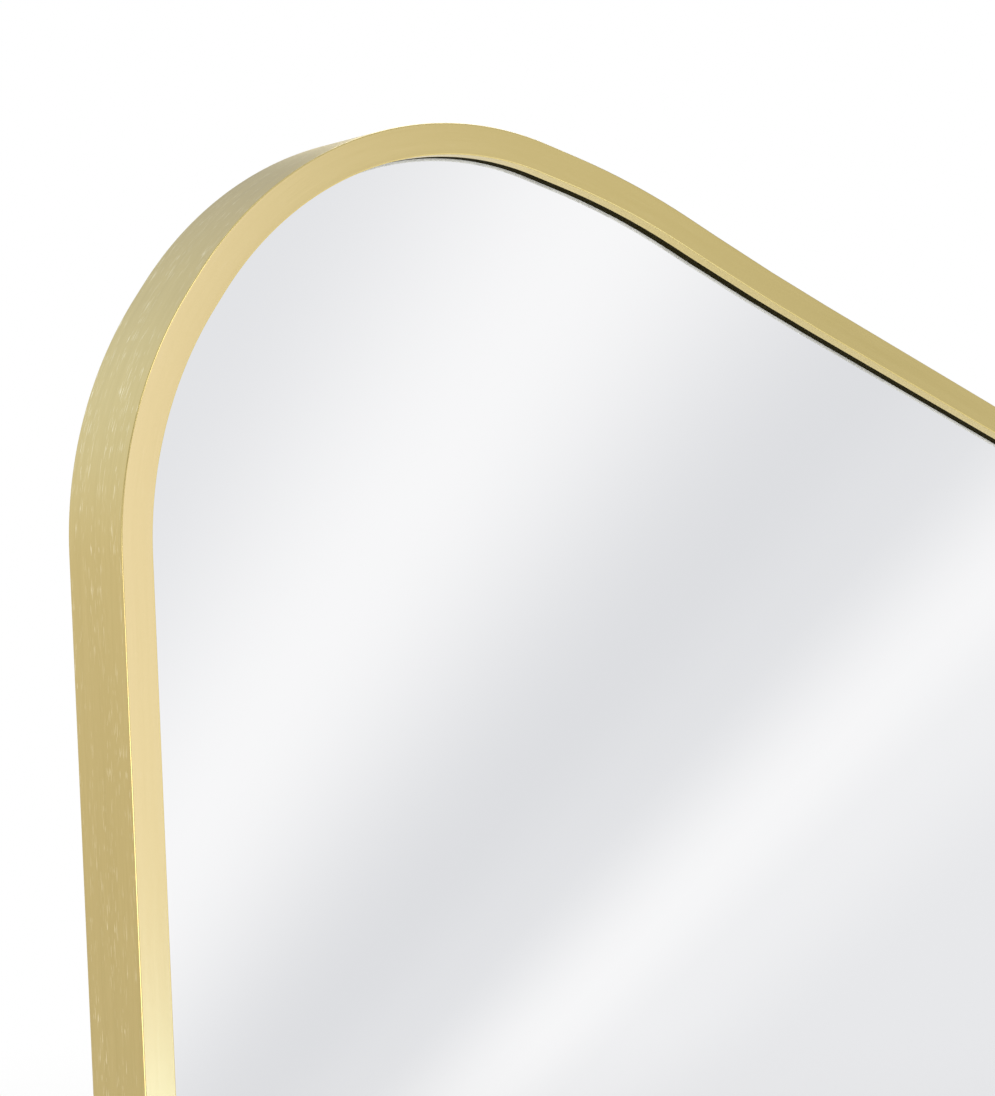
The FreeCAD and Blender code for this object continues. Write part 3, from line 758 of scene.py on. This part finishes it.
def screw_mesh(shank):
    """A pan-head screw with a cross recess; its seat is at the origin and its head is towards +Y."""
    head, height = SCREW_HEAD_RADIUS, SCREW_HEAD_HEIGHT
    rim = SCREW_HEAD_RIM
    # radius and level: the domed top, its rounded rim, the seat, the shank and its blunt point
    profile = [(0.0, height), (head * 0.3, height * 0.985), (head * 0.55, height * 0.94)]
    profile += [(head - rim + rim * math.sin(turn), height * 0.86 - rim * (1 - math.cos(turn)))
                for turn in (math.radians(15 + 15 * k) for k in range(6))]
    profile += [(head, 0.1 * MM), (head - 0.1 * MM, 0.0), (SCREW_SHANK_RADIUS, 0.0),
                (SCREW_SHANK_RADIUS, -shank * 0.7), (SCREW_SHANK_RADIUS * 0.35, -shank), (0.0, -shank)]
    work = bmesh.new()
    rings = []
    for radius, level in profile:
        around = [2 * math.pi * k / SCREW_SIDES for k in range(SCREW_SIDES)] if radius else [0.0]
        rings.append([work.verts.new((radius * math.cos(a), level, radius * math.sin(a))) for a in around])
    for low, high in zip(rings, rings[1:]):
        for k in range(SCREW_SIDES):
            corners = [low[k % len(low)], low[(k + 1) % len(low)],
                       high[(k + 1) % len(high)], high[k % len(high)]]
            work.faces.new(list(dict.fromkeys(corners)))
    body = bpy.data.objects.new("screw_body", mesh_from(work, "screw_body"))
    cutter = bpy.data.objects.new("screw_cutter", cross_recess())
    for item in (body, cutter):
        bpy.context.scene.collection.objects.link(item)
    cut = body.modifiers.new("cut", "BOOLEAN")
    cut.object = cutter
    cut.operation = "DIFFERENCE"
    cut.solver = "EXACT"
    seen = body.evaluated_get(bpy.context.evaluated_depsgraph_get())
    mesh = bpy.data.meshes.new_from_object(seen)
    for item in (body, cutter):
        bpy.data.objects.remove(item)
    return mesh


def screws_skin(node):
    """All the screws of one CAD node; no two recesses point the same way."""
    low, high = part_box(node)
    seat = high.y - SCREW_HEAD_HEIGHT
    pattern = screw_mesh(seat - low.y)
    work = bmesh.new()
    for k, spot in enumerate(screw_places(node)):
        copy = pattern.copy()
        turned = Matrix.Rotation(SCREW_TURN * k, 4, "Y")
        copy.transform(Matrix.Translation((spot[0], seat, spot[1])) @ turned)
        work.from_mesh(copy)
        bpy.data.meshes.remove(copy)
    finished(node + "_skin", mesh_from(work, node), [node], [ZINC], bevel=SCREW_BEVEL)


def clips_skin():
    """Flat clips with a rounded end and a round screw hole, each square to the outline."""
    work = bmesh.new()
    end = CLIP_START + CLIP_LENGTH
    outline = [(x, -z) for x, z in rounded_end(CLIP_WIDTH / 2, -CLIP_START, -end, CLIP_CORNER)]
    add_plate(work, [outline, hole(0.0, end - CLIP_HOLE_FROM_END)], BOARD_BACK, CLIP_BACK)
    mesh = mesh_from(work, "retaining_clip")
    spots = screw_places("clip_screws")
    for part in frame["record"]["subparts"]:
        node = part["node"]
        if not node.startswith("retaining_clip"):
            continue
        low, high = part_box(node)
        middle = Vector(((low.x + high.x) / 2, (low.z + high.z) / 2))
        spot = min(spots, key=lambda found: (found - middle).length)
        foot = nearest_on_outline(spot)
        place = place_at(foot, (spot - foot).normalized(), 0.0)
        finished(node + "_skin", mesh, [node], [ZINC], bevel=SHEET_BEVEL, place=place)


RING_HALF_WIDTH = RING_INNER_WIDTH / 2 + RING_WIRE_RADIUS
RING_REACH = RING_CORNER + RING_LEG + RING_HALF_WIDTH
HINGE_HEIGHT = KNUCKLE_BORE_RADIUS + KNUCKLE_WALL
KNUCKLE_HALF = RING_HALF_WIDTH - RING_CORNER - KNUCKLE_END_CLEARANCE


def plate_mesh():
    """Strap plate with two screw holes, and a knuckle that is rolled up from its neck."""
    work = bmesh.new()
    end = -(RING_REACH + PLATE_BEYOND_BOW)
    outline = rounded_end(PLATE_WIDTH / 2, -HINGE_HEIGHT, end, PLATE_CORNER)
    outline += [(-KNUCKLE_HALF, -HINGE_HEIGHT), (-KNUCKLE_HALF, PLATE_LAP), (KNUCKLE_HALF, PLATE_LAP),
                (KNUCKLE_HALF, -HINGE_HEIGHT)]
    holes = [hole(0.0, end + PLATE_HOLE_FROM_END), hole(0.0, end + PLATE_HOLE_FROM_END + PLATE_HOLE_PITCH)]
    add_plate(work, [outline] + holes, -HINGE_HEIGHT, -KNUCKLE_BORE_RADIUS)
    turns = [KNUCKLE_TURN * k / KNUCKLE_STEPS for k in range(KNUCKLE_STEPS + 1)]
    section = [(-HINGE_HEIGHT * math.cos(turn), HINGE_HEIGHT * math.sin(turn)) for turn in turns]
    section += [(-KNUCKLE_BORE_RADIUS * math.cos(turn), KNUCKLE_BORE_RADIUS * math.sin(turn))
                for turn in reversed(turns)]
    add_prism(work, section, -KNUCKLE_HALF, KNUCKLE_HALF)
    return mesh_from(work, "hanger_plate")


def ring_mesh():
    """A D-ring of round wire, hanging down over its plate."""
    bar_end = RING_HALF_WIDTH - RING_CORNER
    path = arc(bar_end, -RING_CORNER, RING_CORNER, 90, 0, 10)
    path += arc(0.0, -(RING_CORNER + RING_LEG), RING_HALF_WIDTH, 0, -180, 44)
    path += arc(-bar_end, -RING_CORNER, RING_CORNER, 180, 90, 10)
    path += [(-bar_end * (1 - share), 0.0) for share in (0.5, 1.0, 1.5)]
    work = bmesh.new()
    rings = []
    for k, (x, z) in enumerate(path):
        ahead = Vector(path[(k + 1) % len(path)]) - Vector(path[k - 1])
        across = Vector((ahead[1], -ahead[0])).normalized()
        ring = []
        for m in range(RING_SIDES):
            turn = 2 * math.pi * m / RING_SIDES
            reach = RING_WIRE_RADIUS * math.cos(turn)
            ring.append(work.verts.new((x + across[0] * reach, RING_WIRE_RADIUS * math.sin(turn),
                                        z + across[1] * reach)))
        rings.append(ring)
    for k in range(len(rings)):
        for m in range(RING_SIDES):
            work.faces.new((rings[k - 1][m - 1], rings[k - 1][m], rings[k][m], rings[k][m - 1]))
    mesh = mesh_from(work, "hanger_ring")
    mesh.transform(Matrix.Rotation(RING_REST_TILT, 4, "X"))
    return mesh


def hangers_skin():
    """A strap plate on the backboard and a D-ring that swings in it, for each joint."""
    plate, ring = plate_mesh(), ring_mesh()
    for joint in frame["joints"]:
        name = joint["child"].removeprefix("ring_")
        axis, hinge = Vector(joint["axis"]), Vector(joint["pos_m"])
        pull = axis.cross(Vector((0, 1, 0)))
        place = place_at((hinge.x, hinge.z), (pull.x, pull.z), hinge.y)
        finished("hanger_plate_%s_skin" % name, plate, ["hanger_plate_" + name], [ZINC],
                 bevel=SHEET_BEVEL, place=place)
        finished("hanger_ring_%s_skin" % name, ring, ["hanger_ring_" + name], [RING_STEEL],
                 body=joint["child"], place=place)


def dress_nodes():
    """Carried-over CAD nodes get their materials by slot, and the solid ones get softened edges."""
    by_slot = {"silver": PAINT, "film": FILM, "foam": FOAM, "board": BOARD, "block": BLOCK, "steel": ZINC,
               "key": KEY_METAL, "pad": PAD, "frame": GOLD, "gasket": GASKET, "seal": SEAL, "pane": MIRROR}
    for part in frame["record"]["subparts"]:
        node, slot = nodes[part["node"]], part["material_slot"]
        node.data.materials.clear()
        node.data.materials.append(by_slot[slot])
        if slot in NODE_BEVELS:
            weld = node.modifiers.new("weld", "WELD")
            weld.merge_threshold = TINY
            bevelled(node, NODE_BEVELS[slot])
            weighted = node.modifiers.new("weighted", "WEIGHTED_NORMAL")
            weighted.keep_sharp = True


FRAME_SKIN = frame_skin()
REFLECTED_NOWHERE = [FRAME_SKIN, gasket_skin(), seal_skin()]
pane_skin()
for strip in range(FOAM_STRIPS):
    foam_skin("foam_strip_%d" % (strip + 1))
screws_skin("clip_screws")
screws_skin("hanger_screws")
clips_skin()
hangers_skin()
dress_nodes()
# the photograph shows no second frame in the glass
for skin in REFLECTED_NOWHERE:
    skin.visible_glossy = False

# ---- camera at the photograph's angle ---------------------------------------------------------
IMAGE_WIDTH = 995
FOCAL_PIXELS = 2018.4
SENSOR = 36.0
YAW = math.radians(36.827)
PITCH = math.radians(-1.4975)
CAMERA_PLACE = (-0.5636, -0.56056, 0.33835)


def make_camera():
    """An upright camera that looks along +Y, turned by YAW towards +X and raised by PITCH."""
    data = bpy.data.cameras.new("camera")
    data.sensor_fit = "HORIZONTAL"
    data.sensor_width = SENSOR
    data.lens = FOCAL_PIXELS / IMAGE_WIDTH * SENSOR
    data.clip_start, data.clip_end = 0.01, 50.0
    camera = bpy.data.objects.new("camera", data)
    bpy.context.scene.collection.objects.link(camera)
    forward = Vector((math.sin(YAW) * math.cos(PITCH), math.cos(YAW) * math.cos(PITCH), math.sin(PITCH)))
    right = Vector((math.cos(YAW), -math.sin(YAW), 0.0))
    up = right.cross(forward)
    camera.matrix_world = Matrix((right, up, -forward)).transposed().to_4x4()
    camera.location = CAMERA_PLACE
    bpy.context.scene.camera = camera


# ---- stage: floor, world and lamps ------------------------------------------------------------
FLOOR_RADIUS = 3.0
FLOOR_FADE = (0.7, 2.3)
FLOOR_LOW, FLOOR_HIGH = (0.80, 0.80, 0.79, 1.0), (0.83, 0.83, 0.82, 1.0)
DIFFUSE_LIGHT = (0.85, 0.85, 0.85, 1.0)
WHITE = (1.0, 1.0, 1.0, 1.0)
# parts of the room, as components of the direction of a ray
CORNER_ACROSS = (-0.25, -0.6)
CORNER_UP = (0.0, 0.3)
FRONT_TO_BACK = (-0.1, 0.3)
CORNER_LEVEL, CORNER_STRENGTH = 0.35, 0.8
STRIPE_LEVEL, STRIPE_STRENGTH = 0.65, 0.35
STRIPE_SCALE = 3.2
STRIPE_RANGE = (0.4, 0.65)


def make_floor():
    """A pale round floor that fades into the white background."""
    bpy.ops.mesh.primitive_circle_add(vertices=96, radius=FLOOR_RADIUS, fill_type="NGON",
                                      location=(0, 0, FLOOR))
    floor = bpy.context.object
    floor.name = "floor"
    shader = Shader("pale_floor")
    grain = shader.noise(shader.stretched("Object", FLOOR_GRAIN), detail=4.0)
    shader.set(Base_Color=shader.blended(grain, FLOOR_LOW, FLOOR_HIGH), Roughness=0.8)
    away = shader.node("ShaderNodeVectorMath", {0: shader.texture_coordinate.outputs["Object"]},
                       operation="LENGTH").outputs["Value"]
    fade = shader.soft_step(away, *FLOOR_FADE)
    clear = shader.node("ShaderNodeBsdfTransparent")
    mixed = shader.node("ShaderNodeMixShader")
    shader.put(mixed.inputs[0], fade)
    shader.put(mixed.inputs[1], shader.principled.outputs["BSDF"])
    shader.put(mixed.inputs[2], clear.outputs["BSDF"])
    shader.put(shader.tree.nodes["Material Output"].inputs["Surface"], mixed.outputs["Shader"])
    floor.data.materials.append(shader.material)


def grey(level):
    """A neutral light of a level, a little cooler where it is dimmer."""
    return (level * (1 - 0.05 * (1 - level)), level, level * (1 + 0.10 * (1 - level)), 1.0)


def tinted(level, warmth):
    """A light of a level, yellower where warmth is above zero and bluer where it is below."""
    return (level * (1 + 0.07 * warmth), level, level * (1 - 0.12 * warmth), 1.0)


# soft panels of light in front of the object: angle from PANEL_ALONG towards PANEL_ACROSS, in
# degrees, and level
PANEL_ACROSS = (0.9999, -0.0160, 0.0)
PANEL_ALONG = (-0.0104, -0.6484, 0.7612)
PANELS = [(-90, 0.86), (-50, 0.94), (-28, 0.80), (-8, 0.94), (14, 0.82), (28, 0.87), (38, 0.83), (47.7, 1.0),
          (57.5, 0.788), (60.5, 0.82), (64.8, 0.995), (67.2, 0.93), (71.4, 0.868), (85, 0.84)]
# the room behind the object: angle from the left over the top in degrees, level and warmth
BEHIND = [(-60, 0.80, 1.0), (-25, 0.83, 1.0), (-8, 0.91, 0.7), (6, 1.13, 0.2), (30, 1.20, -0.8),
          (62, 1.05, -0.9), (100, 0.78, -0.6), (135, 0.42, -0.5), (180, 0.80, 0.0)]


def make_world():
    """Plain light for diffuse surfaces, soft panels for gloss, and white for the camera."""
    world = bpy.data.worlds.new("studio")
    bpy.context.scene.world = world
    world.use_nodes = True
    net = Nodes(world.node_tree)
    path = net.node("ShaderNodeLightPath")
    way = net.texture_coordinate.outputs["Generated"]
    parts = net.node("ShaderNodeSeparateXYZ", {"Vector": way})
    x, y, z = parts.outputs["X"], parts.outputs["Y"], parts.outputs["Z"]
    angle = net.math("ARCTAN2", net.dot(way, PANEL_ACROSS), net.dot(way, PANEL_ALONG))
    panels = net.ramp(net.math("DEGREES", angle), -90, 90, [(place, grey(level)) for place, level in PANELS])
    # a darker corner up to the front left, which the rounded edges pick up
    corner = net.math("MULTIPLY", net.soft_step(x, *CORNER_ACROSS), net.soft_step(z, *CORNER_UP))
    front = net.blended(net.math("MULTIPLY", corner, CORNER_STRENGTH), panels, grey(CORNER_LEVEL))
    turn = net.math("ARCTAN2", z, net.math("MULTIPLY", x, -1.0))
    behind = net.ramp(net.math("DEGREES", turn), -180, 180,
                      [(place, tinted(level, warmth)) for place, level, warmth in BEHIND])
    wave = net.node("ShaderNodeTexNoise", {"W": turn, "Scale": STRIPE_SCALE, "Detail": 1.0},
                    noise_dimensions="1D")
    stripe = net.ranged(wave.outputs["Fac"], *STRIPE_RANGE, 0.0, STRIPE_STRENGTH)
    behind = net.blended(stripe, behind, grey(STRIPE_LEVEL))
    gloss = net.blended(net.soft_step(y, *FRONT_TO_BACK), front, behind)
    lit = net.blended(path.outputs["Is Glossy Ray"], DIFFUSE_LIGHT, gloss)
    seen = net.math("MAXIMUM", path.outputs["Is Camera Ray"], path.outputs["Is Transmission Ray"])
    net.put(net.tree.nodes["Background"].inputs["Color"], net.blended(seen, lit, WHITE))


def make_lamp(name, place, aim, size, power, tint=(1.0, 1.0, 1.0), only=None):
    """A soft lamp, rectangular and upright; with only given, it lights nothing but that piece."""
    data = bpy.data.lights.new(name, "AREA")
    data.shape = "RECTANGLE"
    data.size, data.size_y = size
    data.energy = power
    data.color = tint
    lamp = bpy.data.objects.new(name, data)
    bpy.context.scene.collection.objects.link(lamp)
    lamp.location = place
    lamp.rotation_mode = "QUATERNION"
    lamp.rotation_quaternion = (Vector(aim) - Vector(place)).to_track_quat("-Z", "Y")
    if only:
        receivers = bpy.data.collections.new(name + "_lights")
        receivers.objects.link(only)
        lamp.light_linking.receiver_collection = receivers


make_camera()
make_floor()
make_world()
make_lamp("key", (-1.3, -1.7, 1.7), (0, 0, 0), (1.2, 1.2), 12.0)
make_lamp("back", (0.9, 1.3, 2.0), (0, 0, 0), (1.2, 1.2), 14.0)
make_lamp("face_panel", (0.18, -2.0, 0.3), (-0.25, 0.0, 0.2), (1.3, 2.4), 10.5, (0.55, 0.54, 1.0),
          FRAME_SKIN)
make_lamp("edge_panel", (-1.5, -1.0, -0.25), (-0.28, 0.0, 0.1), (1.2, 0.8), 10.0, (1.0, 0.93, 0.95),
          FRAME_SKIN)
make_lamp("low_panel", (0.22, -1.05, -0.30), (-0.27, 0.0, 0.0), (0.5, 0.22), 1.2, (0.3, 0.48, 1.0),
          FRAME_SKIN)
bpy.context.scene.view_settings.view_transform = "Standard"
